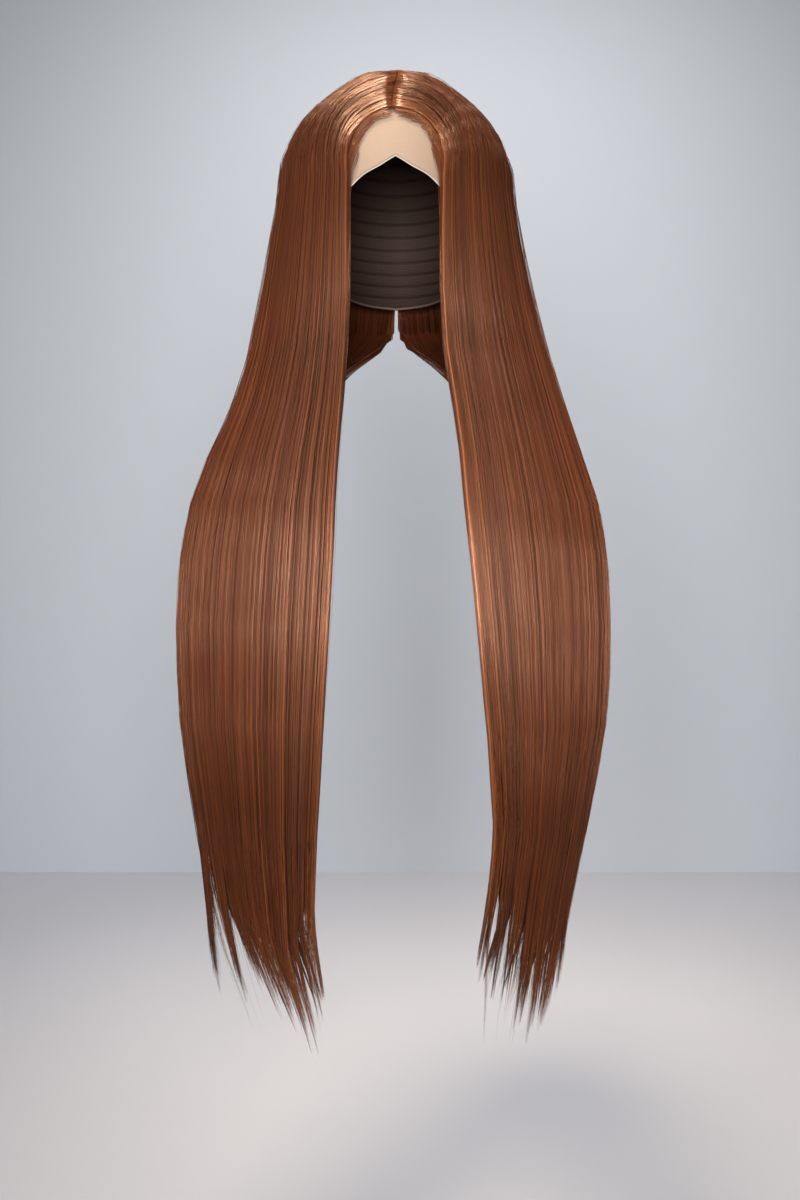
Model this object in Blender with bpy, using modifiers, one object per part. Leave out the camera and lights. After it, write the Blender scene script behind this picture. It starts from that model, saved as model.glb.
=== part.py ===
"""Long straight wig with a lace front, hanging as it does on a wearer's head.

The lace panel covers the front half of the cap and the weft cap the back half. The hair is a
front layer and a back layer on each side. Both layers of a side leave the centre parting, pass
over the head and hang in front of the shoulder as one curtain, cut in pointed locks.

Metres. +Z up, -Y is the face side, and left is -X, the left as seen from the front. The origin
is where the crown of the head touches the inside of the cap.
"""

import math

import bpy
from mathutils import Vector

MM = 0.001

# The head that the cap is made for: a circumference of 560 mm.
HEAD_HALF = Vector((78.0, 98.0, 105.0)) * MM
HEAD_CENTRE = Vector((0.0, 0.0, -HEAD_HALF.z))
WIDEST_LEVEL = HEAD_CENTRE.z

LACE_THICKNESS = 1.0 * MM
CAP_THICKNESS = 1.5 * MM
SEAM_HALF_GAP = 0.3 * MM
HAIR_CLEARANCE = 1.7 * MM

DOME_COLUMNS = 24
DOME_ROWS = 10

# Lower edge of the lace, by angle round the head from the centre of the forehead.
LACE_EDGE = (
    # angle, level
    (0, -90),
    (5, -94),
    (10, -98),
    (20, -104),
    (30, -113),
    (45, -122),
    (60, -136),
    (72, -150),
    (80, -146),
    (90, -130),
)

# Lower edge of the weft cap, by angle from the ear to the centre of the nape.
CAP_EDGE = (
    # angle, level
    (90, -130),
    (100, -134),
    (115, -154),
    (135, -167),
    (180, -172),
)

# The parting runs back from the hairline. Angles are from the crown, positive to the front.
PARTING_FRONT_DEG = 57.0
PARTING_EAR_DEG = -3.0
PARTING_BACK_DEG = -46.0

# Size of the hair's outer form over the head, as a share of the head's size, by angle from the
# crown. It sinks to the parting, and to the hairline at the face edge.
CROWN_FORM = (
    # angle, share
    (0, 1.075),
    (20, 1.10),
    (37, 1.155),
    (50, 1.22),
    (61, 1.275),
    (75, 1.325),
    (90, 1.39),
)
PARTING_DIP = 0.015
HAIRLINE_SHARE = 1.055
HAIRLINE_SWELL = 0.25
PARTING_HALF_GAP = 0.3 * MM
# Share of a layer's turn kept clear at each of its edges.
LAYER_EDGE = 0.006

# Depth of the hair at each level: y of the edge beside the face, of the outer side and of the
# edge that comes from the nape.
DEPTHS = (
    # level, inner_y, outer_y, back_y
    (-105, -98, -5, 121),
    (-155, -98, -12, 112),
    (-205, -97, -22, 88),
    (-250, -97, -34, 52),
    (-295, -100, -50, 4),
    (-335, -104, -64, -32),
    (-375, -109, -76, -52),
    (-415, -113, -84, -62),
    (-455, -115, -88, -66),
    (-535, -112, -88, -67),
    (-620, -104, -82, -62),
    (-700, -95, -75, -56),
    (-765, -88, -69, -51),
    (-850, -80, -62, -45),
)

# Width of the hair at each level: x of the same three edges, from the centre plane.
WIDTHS = {
    "left": (
        # level, inner_x, outer_x, back_x
        (-105, 36, 106, 0.5),
        (-155, 36, 114, 1),
        (-205, 38, 122, 16),
        (-250, 41, 130, 52),
        (-295, 45, 143, 88),
        (-335, 48, 159, 106),
        (-375, 50, 171, 108),
        (-415, 51, 177, 103),
        (-455, 53, 180, 98),
        (-535, 58, 179, 92),
        (-620, 63, 169, 87),
        (-700, 68, 156, 84),
        (-765, 67, 133, 80),
        (-850, 58, 100, 70),
    ),
    "right": (
        # level, inner_x, outer_x, back_x
        (-105, 35, 106, 0.5),
        (-155, 35, 114, 1),
        (-205, 37, 124, 16),
        (-250, 41, 135, 52),
        (-295, 49, 147, 88),
        (-335, 54, 158, 108),
        (-375, 57, 169, 112),
        (-415, 61, 174, 110),
        (-455, 65, 176, 106),
        (-535, 72, 175, 103),
        (-620, 81, 163, 102),
        (-700, 77, 146, 98),
        (-765, 74, 136, 92),
        (-850, 72, 104, 84),
    ),
}

# Share of the layer's depth that is hair, by level. Above the first level the layer fills the
# room between the head and the outer form.
WALL_LEVEL_TOP = -176
WALL_LEVEL_FULL = -262
WALL_SHARE = 0.74
WALL_SIDE = 20 * MM

# Locks across each layer, from the face edge to the outer side and from there to the nape edge.
LOCKS = {
    "hair_front_left": (
        # share, tip, notch
        (0.14, -830, 60),
        (0.17, -846, 75),
        (0.16, -834, 60),
        (0.18, -822, 70),
        (0.17, -800, 90),
        (0.18, -786, 110),
    ),
    "hair_front_right": (
        (0.15, -762, 70),
        (0.16, -786, 80),
        (0.18, -780, 70),
        (0.17, -806, 75),
        (0.17, -832, 70),
        (0.17, -822, 80),
    ),
    "hair_back_left": (
        (0.18, -776, 90),
        (0.16, -796, 80),
        (0.17, -812, 70),
        (0.17, -826, 70),
        (0.16, -812, 75),
        (0.16, -796, 80),
    ),
    "hair_back_right": (
        (0.17, -812, 80),
        (0.17, -818, 70),
        (0.17, -800, 75),
        (0.16, -786, 70),
        (0.17, -776, 80),
        (0.16, -762, 80),
    ),
}
# Place of a column across its lock, how proud it stands and how much of the notch it loses.
LOCK_COLUMNS = (
    # place, pride, shortfall
    (0.0, -1.0, 1.0),
    (0.25, 0.5, 0.42),
    (0.5, 1.0, 0.0),
    (0.75, 0.5, 0.42),
)
LOCK_PRIDE = 1.8 * MM
# Level where the front and back layers' meeting edges end.
MEETING_END = {"left": -726 * MM, "right": -772 * MM}
TIP_TAPER = 120 * MM
TIP_THICKNESS = 0.10
TIP_GATHER = 0.72

DOME_STEPS = 8
HANG_STEPS = (0.05, 0.1, 0.16, 0.22, 0.28, 0.34, 0.41, 0.49, 0.57, 0.65, 0.73, 0.81, 0.88, 0.94, 0.98, 1.0)

COLOURS = {
    # name, base colour, roughness
    "lace": ((0.66, 0.45, 0.33, 1.0), 0.8),
    "cap": ((0.10, 0.05, 0.03, 1.0), 0.85),
    "hair": ((0.23, 0.075, 0.03, 1.0), 0.42),
}


def smooth_step(value):
    value = max(0.0, min(1.0, value))
    return value * value * (3.0 - 2.0 * value)


def mix(a, b, share):
    return a + (b - a) * share


def read(table, column, at):
    """A column of a table at a place between its rows, on a smooth curve through them."""
    keys = [row[0] for row in table]
    values = [row[column] for row in table]
    if keys[0] > keys[-1]:
        keys.reverse()
        values.reverse()
    at = max(keys[0], min(keys[-1], at))
    i = next(n for n in range(len(keys) - 1) if at <= keys[n + 1])

    def slope(n):
        low, high = max(0, n - 1), min(len(keys) - 1, n + 1)
        return (values[high] - values[low]) / (keys[high] - keys[low])

    width = keys[i + 1] - keys[i]
    t = (at - keys[i]) / width
    return (
        (2 * t**3 - 3 * t**2 + 1) * values[i]
        + (t**3 - 2 * t**2 + t) * width * slope(i)
        + (3 * t**2 - 2 * t**3) * values[i + 1]
        + (t**3 - t**2) * width * slope(i + 1)
    )


def on_head(direction, clearance):
    """The point of the head's surface in a direction, moved out by a clearance."""
    half = HEAD_HALF + Vector((clearance, clearance, clearance))
    return HEAD_CENTRE + Vector(direction[i] * half[i] for i in range(3))


def section_point(side, layer, across, level, inside=False):
    """A point of a layer's cross-section at a level, on the +X side.

    across runs from the face edge to the outer side in the front layer, and from the outer side
    to the nape edge in the back layer.
    """
    at = level / MM
    inner_x, outer_x, back_x = (read(WIDTHS[side], c, at) * MM for c in (1, 2, 3))
    inner_y, outer_y, back_y = (read(DEPTHS, c, at) * MM for c in (1, 2, 3))
    turn = across * math.pi / 2
    edge_x, edge_y = (inner_x, inner_y) if layer == "front" else (back_x, back_y)
    depth = edge_y - outer_y
    if inside:
        depth *= 1 - WALL_SHARE
        wall = min(WALL_SIDE, 0.5 * (outer_x - edge_x))
        outer_x -= wall
    out, back = math.sin(turn), math.cos(turn)
    if layer == "back":
        out, back = back, out
    return Vector((mix(edge_x, outer_x, out), outer_y + depth * back, level))


def head_direction(point):
    """Direction of a point from the head's centre, with the head taken as a ball, and its reach."""
    scaled = Vector((point - HEAD_CENTRE)[i] / HEAD_HALF[i] for i in range(3))
    return scaled.normalized(), scaled.length


def root_direction(layer, across):
    start, end = (
        (PARTING_FRONT_DEG, PARTING_EAR_DEG) if layer == "front" else (PARTING_EAR_DEG, PARTING_BACK_DEG)
    )
    angle = math.radians(mix(start, end, across))
    return Vector((0.0, -math.sin(angle), math.cos(angle)))


def dome_pair(side, layer, across, along):
    """Outer and inner point of the hair over the head, from the parting to the widest level."""
    root = root_direction(layer, across)
    end, end_reach = head_direction(section_point(side, layer, across, WIDEST_LEVEL))
    middle = Vector((end.x, (root.y + end.y) / 2, 0.85 * root.z))
    direction = (1 - along) ** 2 * root + 2 * along * (1 - along) * middle + along**2 * end
    direction.normalize()
    reach = read(CROWN_FORM, 1, math.degrees(math.acos(direction.z)))
    reach -= PARTING_DIP * (1 - smooth_step(along / 0.2))
    if layer == "front":
        reach = mix(HAIRLINE_SHARE, reach, smooth_step(across / HAIRLINE_SWELL))
    reach = mix(reach, end_reach, smooth_step((along - 0.35) / 0.6))
    outer = HEAD_CENTRE + Vector(direction[i] * reach * HEAD_HALF[i] for i in range(3))
    base = (LACE_THICKNESS if layer == "front" else CAP_THICKNESS) + HAIR_CLEARANCE
    return outer, on_head(direction, base)


def hang_pair(side, layer, across, level):
    """Outer and inner point of the hair below the widest level."""
    outer = section_point(side, layer, across, level)
    hung = section_point(side, layer, across, level, inside=True)
    at_rim, _ = head_direction(section_point(side, layer, across, WIDEST_LEVEL))
    base = (LACE_THICKNESS if layer == "front" else CAP_THICKNESS) + HAIR_CLEARANCE
    beside_head = on_head(at_rim, base)
    beside_head.z = level
    share = smooth_step((WALL_LEVEL_TOP * MM - level) / ((WALL_LEVEL_TOP - WALL_LEVEL_FULL) * MM))
    inner = beside_head.lerp(hung, share)
    inner.z = level
    return outer, inner


def lock_columns(layer, side):
    """Columns of a layer: place across, pride, centre of the lock, share of gathering and end level."""
    columns = []
    start = 0.0
    locks = LOCKS[f"hair_{layer}_{side}"]
    for n, (share, tip, notch) in enumerate(locks):
        for place, pride, shortfall in LOCK_COLUMNS:
            end = (tip + shortfall * notch) * MM
            gather = TIP_GATHER
            if place == 0.0:
                gather = 0.0
                if n:
                    end = (max(tip, locks[n - 1][1]) + notch) * MM
            columns.append((start + share * place, pride, start + share / 2, gather, end))
        start += share
    columns.append((1.0, -1.0, 1.0, 0.0, (locks[-1][1] + locks[-1][2]) * MM))
    meeting = -1 if layer == "front" else 0
    columns[meeting] = columns[meeting][:4] + (MEETING_END[side],)
    return columns


def hair_layer(name, material, collection):
    """One side's front or back layer, a closed loft of an outer and an inner surface."""
    _, layer, side = name.split("_")
    sign = -1 if side == "left" else 1
    meeting = 1.0 if layer == "front" else 0.0
    outer_rows, inner_rows = [], []
    for across, pride, centre, gather, end in lock_columns(layer, side):
        at_meeting = across == meeting
        across = mix(LAYER_EDGE, 1 - LAYER_EDGE, across)
        outer_line, inner_line = [], []
        for step in range(DOME_STEPS):
            along = step / DOME_STEPS
            outer, inner = dome_pair(side, layer, across, along)
            lift = (outer - inner).normalized() * pride * LOCK_PRIDE * 0.6 * smooth_step(along / 0.5)
            outer_line.append(outer + lift)
            inner_line.append(inner)
        for step in (0.0,) + HANG_STEPS:
            level = mix(WIDEST_LEVEL, end, step)
            to_end = smooth_step(1 - (level - end) / TIP_TAPER)
            outer, inner = hang_pair(side, layer, mix(across, centre, gather * to_end), level)
            meeting_y = section_point(side, layer, mix(LAYER_EDGE, 1 - LAYER_EDGE, meeting), level).y
            if at_meeting:
                inner.y = meeting_y
            else:
                inner.y = min(inner.y, meeting_y) if layer == "front" else max(inner.y, meeting_y)
            middle = outer.lerp(inner, 0.5)
            thickness = mix(1.0, TIP_THICKNESS, to_end)
            lift = (outer - inner).normalized() * pride * LOCK_PRIDE * (1 - 0.8 * to_end)
            outer_line.append(middle.lerp(outer, thickness) + lift)
            inner_line.append(middle.lerp(inner, thickness))
        outer_rows.append(outer_line)
        inner_rows.append(inner_line)
    return closed_loft(name, outer_rows, inner_rows, sign, material, collection)


def closed_loft(name, outer_rows, inner_rows, sign, material, collection):
    """A closed solid between two grids of points, mirrored to -X when sign is negative."""
    wide, long = len(outer_rows), len(outer_rows[0])
    lines = [line for rows in (outer_rows, inner_rows) for line in rows]
    points = [Vector((sign * max(p.x, PARTING_HALF_GAP), p.y, p.z)) for line in lines for p in line]

    def at(layer, i, j):
        return layer * wide * long + i * long + j

    faces = []
    for i in range(wide - 1):
        for j in range(long - 1):
            faces.append((at(0, i, j), at(0, i, j + 1), at(0, i + 1, j + 1), at(0, i + 1, j)))
            faces.append((at(1, i, j), at(1, i + 1, j), at(1, i + 1, j + 1), at(1, i, j + 1)))
    for i in range(wide - 1):
        for j, turn in ((0, False), (long - 1, True)):
            rim = (at(0, i, j), at(0, i + 1, j), at(1, i + 1, j), at(1, i, j))
            faces.append(rim[::-1] if turn else rim)
    for j in range(long - 1):
        for i, turn in ((0, True), (wide - 1, False)):
            rim = (at(0, i, j), at(0, i, j + 1), at(1, i, j + 1), at(1, i, j))
            faces.append(rim[::-1] if turn else rim)
    # The faces above turn outward on the +X side, where the columns run from the face to the back.
    if sign < 0:
        faces = [face[::-1] for face in faces]
    return add_mesh(name, points, faces, material, collection)


def add_mesh(name, points, faces, material, collection):
    mesh = bpy.data.meshes.new(name)
    mesh.from_pydata([tuple(p) for p in points], [], faces)
    mesh.materials.append(material)
    mesh.shade_smooth()
    mesh.set_sharp_from_angle(angle=math.radians(50))
    made = bpy.data.objects.new(name, mesh)
    collection.objects.link(made)
    return made


def half_dome(name, start_deg, end_deg, edge_table, thickness, shift, material, collection):
    """Half of the cap: an open surface on the head, from the crown to its lower edge, thickened outwards."""
    crown = on_head(Vector((0, 0, 1)), 0.0)
    points = [crown + Vector((0, shift, 0))]
    for i in range(DOME_COLUMNS + 1):
        angle = mix(start_deg, end_deg, i / DOME_COLUMNS)
        from_front = abs(angle) if abs(angle) <= 180 else 360 - abs(angle)
        level = read(edge_table, 1, from_front) * MM
        lowest = math.acos((level - HEAD_CENTRE.z) / HEAD_HALF.z)
        turn = math.radians(angle)
        for j in range(1, DOME_ROWS + 1):
            polar = lowest * j / DOME_ROWS
            around = math.sin(polar)
            direction = Vector((math.sin(turn) * around, -math.cos(turn) * around, math.cos(polar)))
            points.append(on_head(direction, 0.0) + Vector((0, shift, 0)))

    def at(i, j):
        return 0 if j == 0 else 1 + i * DOME_ROWS + j - 1

    faces = []
    for i in range(DOME_COLUMNS):
        faces.append((0, at(i, 1), at(i + 1, 1)))
        for j in range(1, DOME_ROWS):
            faces.append((at(i, j), at(i, j + 1), at(i + 1, j + 1), at(i + 1, j)))
    made = add_mesh(name, points, faces, material, collection)
    wall = made.modifiers.new("wall", "SOLIDIFY")
    wall.thickness = thickness
    wall.offset = 1.0
    return made


def finish_of(name):
    colour, roughness = COLOURS[name]
    material = bpy.data.materials.new(name)
    material.use_nodes = True
    shader = material.node_tree.nodes["Principled BSDF"]
    shader.inputs["Base Color"].default_value = colour
    shader.inputs["Roughness"].default_value = roughness
    material.diffuse_color = colour
    return material


def main():
    for old in list(bpy.data.objects):
        bpy.data.objects.remove(old)
    wig = bpy.data.collections.new("lace_front_wig")
    bpy.context.scene.collection.children.link(wig)
    lace, cap, hair = finish_of("lace"), finish_of("cap"), finish_of("hair")
    half_dome("lace_front", -90, 90, LACE_EDGE, LACE_THICKNESS, -SEAM_HALF_GAP, lace, wig)
    half_dome("weft_cap", 90, 270, CAP_EDGE, CAP_THICKNESS, SEAM_HALF_GAP, cap, wig)
    for name in LOCKS:
        hair_layer(name, hair, wig)


main()
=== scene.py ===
"""The looks of the lace front wig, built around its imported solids.

The hair is made as strands that follow the same courses as the solids' locks: from the centre
parting, over the head and down in front of the shoulder. Metres, +Z up, -Y is the face side.
"""

import math

import bpy
import numpy as np
from bpy.props import FloatProperty, FloatVectorProperty, IntProperty, PointerProperty
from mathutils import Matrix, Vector


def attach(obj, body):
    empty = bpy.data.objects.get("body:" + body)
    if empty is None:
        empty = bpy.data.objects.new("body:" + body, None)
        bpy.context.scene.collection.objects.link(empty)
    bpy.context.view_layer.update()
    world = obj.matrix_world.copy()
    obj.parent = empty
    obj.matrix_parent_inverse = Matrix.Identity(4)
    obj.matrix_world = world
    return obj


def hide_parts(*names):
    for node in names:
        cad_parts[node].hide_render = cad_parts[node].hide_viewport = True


bl_info = {
    "name": "Lace Front Wig",
    "version": (1, 0, 0),
    "blender": (4, 5, 0),
    "location": "3D View > Sidebar > Wig",
    "description": "Dresses the wig's solids with strands of hair, lace and a weft cap",
    "category": "Object",
}

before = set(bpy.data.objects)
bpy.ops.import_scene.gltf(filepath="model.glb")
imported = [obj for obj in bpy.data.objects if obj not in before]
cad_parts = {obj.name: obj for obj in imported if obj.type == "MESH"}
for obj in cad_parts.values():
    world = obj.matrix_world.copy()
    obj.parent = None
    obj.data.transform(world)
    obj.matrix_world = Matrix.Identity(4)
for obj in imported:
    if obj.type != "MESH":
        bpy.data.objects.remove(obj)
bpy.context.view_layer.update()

MM = 0.001

# The head inside the cap and the courses of the hair, as in the solids.
HEAD_HALF = np.array([78.0, 98.0, 105.0]) * MM
HEAD_CENTRE = np.array([0.0, 0.0, -105.0]) * MM
WIDEST_LEVEL = -105.0 * MM
HAIR_CLEARANCE = 2.9 * MM

LACE_EDGE = (
    # angle, level
    (0, -90),
    (5, -94),
    (10, -98),
    (20, -104),
    (30, -113),
    (45, -122),
    (60, -136),
    (72, -150),
    (80, -146),
    (90, -130),
)
CAP_EDGE = (
    # angle, level
    (90, -130),
    (100, -134),
    (115, -154),
    (135, -167),
    (180, -172),
)

# Metres of net for each radian round the head and down from its top.
NET_TURN = 0.088
NET_FALL = 0.100

PARTING_FRONT_DEG = 57.0
PARTING_EAR_DEG = -3.0
PARTING_BACK_DEG = -46.0
CROWN_FORM = (
    # angle, share
    (0, 1.110),
    (20, 1.106),
    (37, 1.163),
    (50, 1.194),
    (61, 1.226),
    (75, 1.286),
    (90, 1.39),
)
# Shares of the head's size: how deep the parting dips on each side, how high the waves of the locks
# rise beside it, and how high the hair starts at the hairline.
PARTING_DIP = {"left": 0.0, "right": 0.005}
WAVE_LIFT = 0.017
WAVES = 5.5
WAVE_PHASE = {"left": 2.0, "right": 0.4}
HAIRLINE_SHARE = 1.055
HAIRLINE_SWELL = 0.25

DEPTHS = (
    # level, inner_y, outer_y, back_y
    (-105, -98, -5, 121),
    (-155, -98, -12, 112),
    (-205, -97, -22, 88),
    (-250, -97, -34, 52),
    (-295, -100, -50, 4),
    (-335, -104, -64, -32),
    (-375, -109, -76, -52),
    (-415, -113, -84, -62),
    (-455, -115, -88, -66),
    (-535, -112, -88, -67),
    (-620, -104, -82, -62),
    (-700, -95, -75, -56),
    (-765, -88, -69, -51),
    (-850, -80, -62, -45),
)
WIDTHS = {
    "left": (
        # level, inner_x, outer_x, back_x
        (-105, 40, 106, 0.5),
        (-155, 40, 114, 1),
        (-205, 40, 122, 16),
        (-250, 42, 130, 52),
        (-295, 45, 143, 88),
        (-335, 48, 159, 106),
        (-375, 50, 171, 108),
        (-415, 51, 177, 103),
        (-455, 53, 180, 98),
        (-535, 58, 179, 92),
        (-620, 63, 169, 87),
        (-700, 68, 156, 84),
        (-765, 67, 139, 80),
        (-850, 58, 108, 70),
    ),
    "right": (
        # level, inner_x, outer_x, back_x
        (-105, 39, 106, 0.5),
        (-155, 38, 114, 1),
        (-205, 39, 124, 16),
        (-250, 42, 135, 52),
        (-295, 49, 147, 88),
        (-335, 54, 158, 108),
        (-375, 57, 169, 112),
        (-415, 61, 174, 110),
        (-455, 65, 176, 106),
        (-535, 72, 175, 103),
        (-620, 81, 163, 102),
        (-700, 77, 146, 98),
        (-765, 74, 136, 92),
        (-850, 72, 104, 84),
    ),
}
# The hollow inside of each curtain: the hair's share of its depth, its side wall, and the levels
# between which the hair leaves the head.
WALL_SHARE = 0.74
WALL_SIDE = 20 * MM
WALL_LEVEL_TOP = -176 * MM
WALL_LEVEL_FULL = -262 * MM

# Levels below the head at which the strands bend, shared by all so that they stay side by side.
HANG_STEPS = (0.048, 0.095, 0.14, 0.185, 0.226, 0.268, 0.312, 0.37, 0.45, 0.54, 0.64, 0.76)

# The locks of each layer, from 0 at the face edge over 1 at the outer side to 2 at the nape edge,
# with the place and level of their tips, and how far apart from the others each hangs, from 0 to 1.
LOCKS = {
    "front_left": (
        # from, to, tip_x, tip_level, apart
        (0.00, 0.10, 59, -806, 0.0),
        (0.10, 0.24, 62, -838, 0.0),
        (0.24, 0.38, 71, -826, 0.0),
        (0.38, 0.50, 84, -812, 0.0),
        (0.50, 0.60, 98, -796, 0.2),
        (0.60, 0.74, 115, -796, 0.8),
        (0.74, 1.01, 138, -786, 0.6),
    ),
    "front_right": (
        # from, to, tip_x, tip_level, apart
        (0.00, 0.08, 68, -774, 0.1),
        (0.08, 0.17, 77, -790, 0.1),
        (0.17, 0.30, 86, -798, 0.1),
        (0.30, 0.44, 95, -812, 0.0),
        (0.44, 0.62, 103, -828, 0.0),
        (0.62, 0.80, 111, -818, 0.0),
        (0.80, 1.01, 121, -798, 0.0),
    ),
    "back_left": (
        # from, to, tip_x, tip_level, apart
        (0.99, 1.16, 136, -786, 0.6),
        (1.16, 1.34, 116, -794, 0.5),
        (1.34, 1.54, 98, -796, 0.1),
        (1.54, 1.72, 84, -812, 0.0),
        (1.72, 1.88, 72, -824, 0.0),
        (1.88, 2.00, 63, -808, 0.0),
    ),
    "back_right": (
        # from, to, tip_x, tip_level, apart
        (0.99, 1.16, 122, -794, 0.0),
        (1.16, 1.34, 113, -812, 0.0),
        (1.34, 1.52, 104, -822, 0.0),
        (1.52, 1.70, 95, -810, 0.0),
        (1.70, 1.86, 86, -796, 0.1),
        (1.86, 2.00, 76, -780, 0.3),
    ),
}

# Painted light and shade on the hair by its height, from the tips at 0 to the crown at 1:
# full in the band that the front light falls on, darker above and below it, lighter at the very
# tips and top.
LOWEST = -0.86
HIGHEST = 0.02
HEIGHT_SHADES = (
    # share, painted shade
    (0.0, (1.0, 0.92, 0.82)),
    (0.08, (0.80, 0.72, 0.62)),
    (0.17, (0.62, 0.54, 0.43)),
    (0.27, (0.60, 0.51, 0.40)),
    (0.37, (1.0, 1.0, 1.0)),
    (0.58, (1.0, 1.0, 1.0)),
    (0.72, (0.86, 0.84, 0.82)),
    (0.82, (0.70, 0.67, 0.64)),
    (0.92, (0.56, 0.53, 0.50)),
    (1.0, (0.9, 0.9, 0.9)),
)

# Narrow threads of one tone round each side, and the cells that hold their tones.
THREADS = 170
THREAD_CELLS = 350
CLUMPS_PER_LOCK = 5
EDGE_SHARE = 0.12
DOME_STEPS = 10

# Walls, edge cords, clearances from the head and net pitches of the lace and the cap.
LACE_CLEARANCE = 0.15 * MM
LACE_WALL = 0.7 * MM
LACE_PITCH = 1.1 * MM
LACE_EDGE_RADIUS = 0.55 * MM
CAP_CLEARANCE = 0.9 * MM
CAP_WALL = 0.6 * MM
CAP_PITCH = 1.6 * MM
CAP_EDGE_RADIUS = 1.3 * MM
WEFT_INSET = 0.6 * MM
WEFT_DARK = (0.008, 0.003, 0.0016)
WEFT_LIGHT = (0.022, 0.008, 0.004)
SEAM_SHIFT = 0.3 * MM

STAGE_SIZE = 6.0
BACKDROP_Y = 1.75
WHITE = (1.0, 1.0, 1.0)
LIGHTS = (
    # name, place, aim, size, colour, spread in degrees
    ("key", (-0.225, -0.5, 1.0), (-0.03, -0.02, 0.0), 0.35, (1.0, 0.86, 0.68), 50),
    ("front", (-0.05, -1.5, -0.34), (0.0, 0.0, -0.45), 0.6, WHITE, 120),
    ("wall", (0.1, 0.6, 0.9), (0.1, 1.6, -0.9), 1.2, WHITE, 180),
    ("back", (0.4, 1.45, 0.75), (0.0, 0.0, -0.3), 0.6, WHITE, 100),
)
WORLD_COLOUR = (0.97, 0.98, 1.0)
WORLD_STRENGTH = 0.12
CAMERA_PLACE = (0.0036, -1.05, -0.453)
CAMERA_LENS = 35.0
SENSOR_HEIGHT = 36.0


def mix(a, b, share):
    return a + (b - a) * share


def smooth_step(value):
    value = np.clip(value, 0.0, 1.0)
    return value * value * (3.0 - 2.0 * value)


def read(table, column, at):
    """A column of a table at places between its rows, on a smooth curve through them."""
    rows = np.array(sorted(table), dtype=float)
    keys, values = rows[:, 0], rows[:, column]
    low = np.maximum(np.arange(len(keys)) - 1, 0)
    high = np.minimum(np.arange(len(keys)) + 1, len(keys) - 1)
    slopes = (values[high] - values[low]) / (keys[high] - keys[low])
    at = np.clip(at, keys[0], keys[-1])
    i = np.clip(np.searchsorted(keys, at) - 1, 0, len(keys) - 2)
    width = keys[i + 1] - keys[i]
    t = (at - keys[i]) / width
    return (
        (2 * t**3 - 3 * t**2 + 1) * values[i]
        + (t**3 - 2 * t**2 + t) * width * slopes[i]
        + (3 * t**2 - 2 * t**3) * values[i + 1]
        + (t**3 - t**2) * width * slopes[i + 1]
    )


def unit(vectors):
    return vectors / np.maximum(np.linalg.norm(vectors, axis=-1, keepdims=True), 1e-12)


def section(side, across, level, inside=False):
    """Points of the hair's cross-section at a level, on the +X side."""
    at = level / MM
    inner_x, outer_x, back_x = (read(WIDTHS[side], c, at) * MM for c in (1, 2, 3))
    inner_y, outer_y, back_y = (read(DEPTHS, c, at) * MM for c in (1, 2, 3))
    front = across < 1
    edge_x = np.where(front, inner_x, back_x)
    depth = np.where(front, inner_y, back_y) - outer_y
    if inside:
        depth = depth * (1 - WALL_SHARE)
        outer_x = outer_x - np.minimum(WALL_SIDE, 0.5 * (outer_x - edge_x))
    turn = across * math.pi / 2
    x = mix(edge_x, outer_x, np.sin(turn))
    y = outer_y + depth * np.where(front, np.cos(turn), -np.cos(turn))
    return np.stack([x, y, level + 0 * x], axis=-1)


def head_direction(points):
    """Directions of points from the head's centre, and their reach as a share of its size."""
    scaled = (points - HEAD_CENTRE) / HEAD_HALF
    reach = np.linalg.norm(scaled, axis=-1, keepdims=True)
    return scaled / reach, reach[..., 0]


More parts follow.
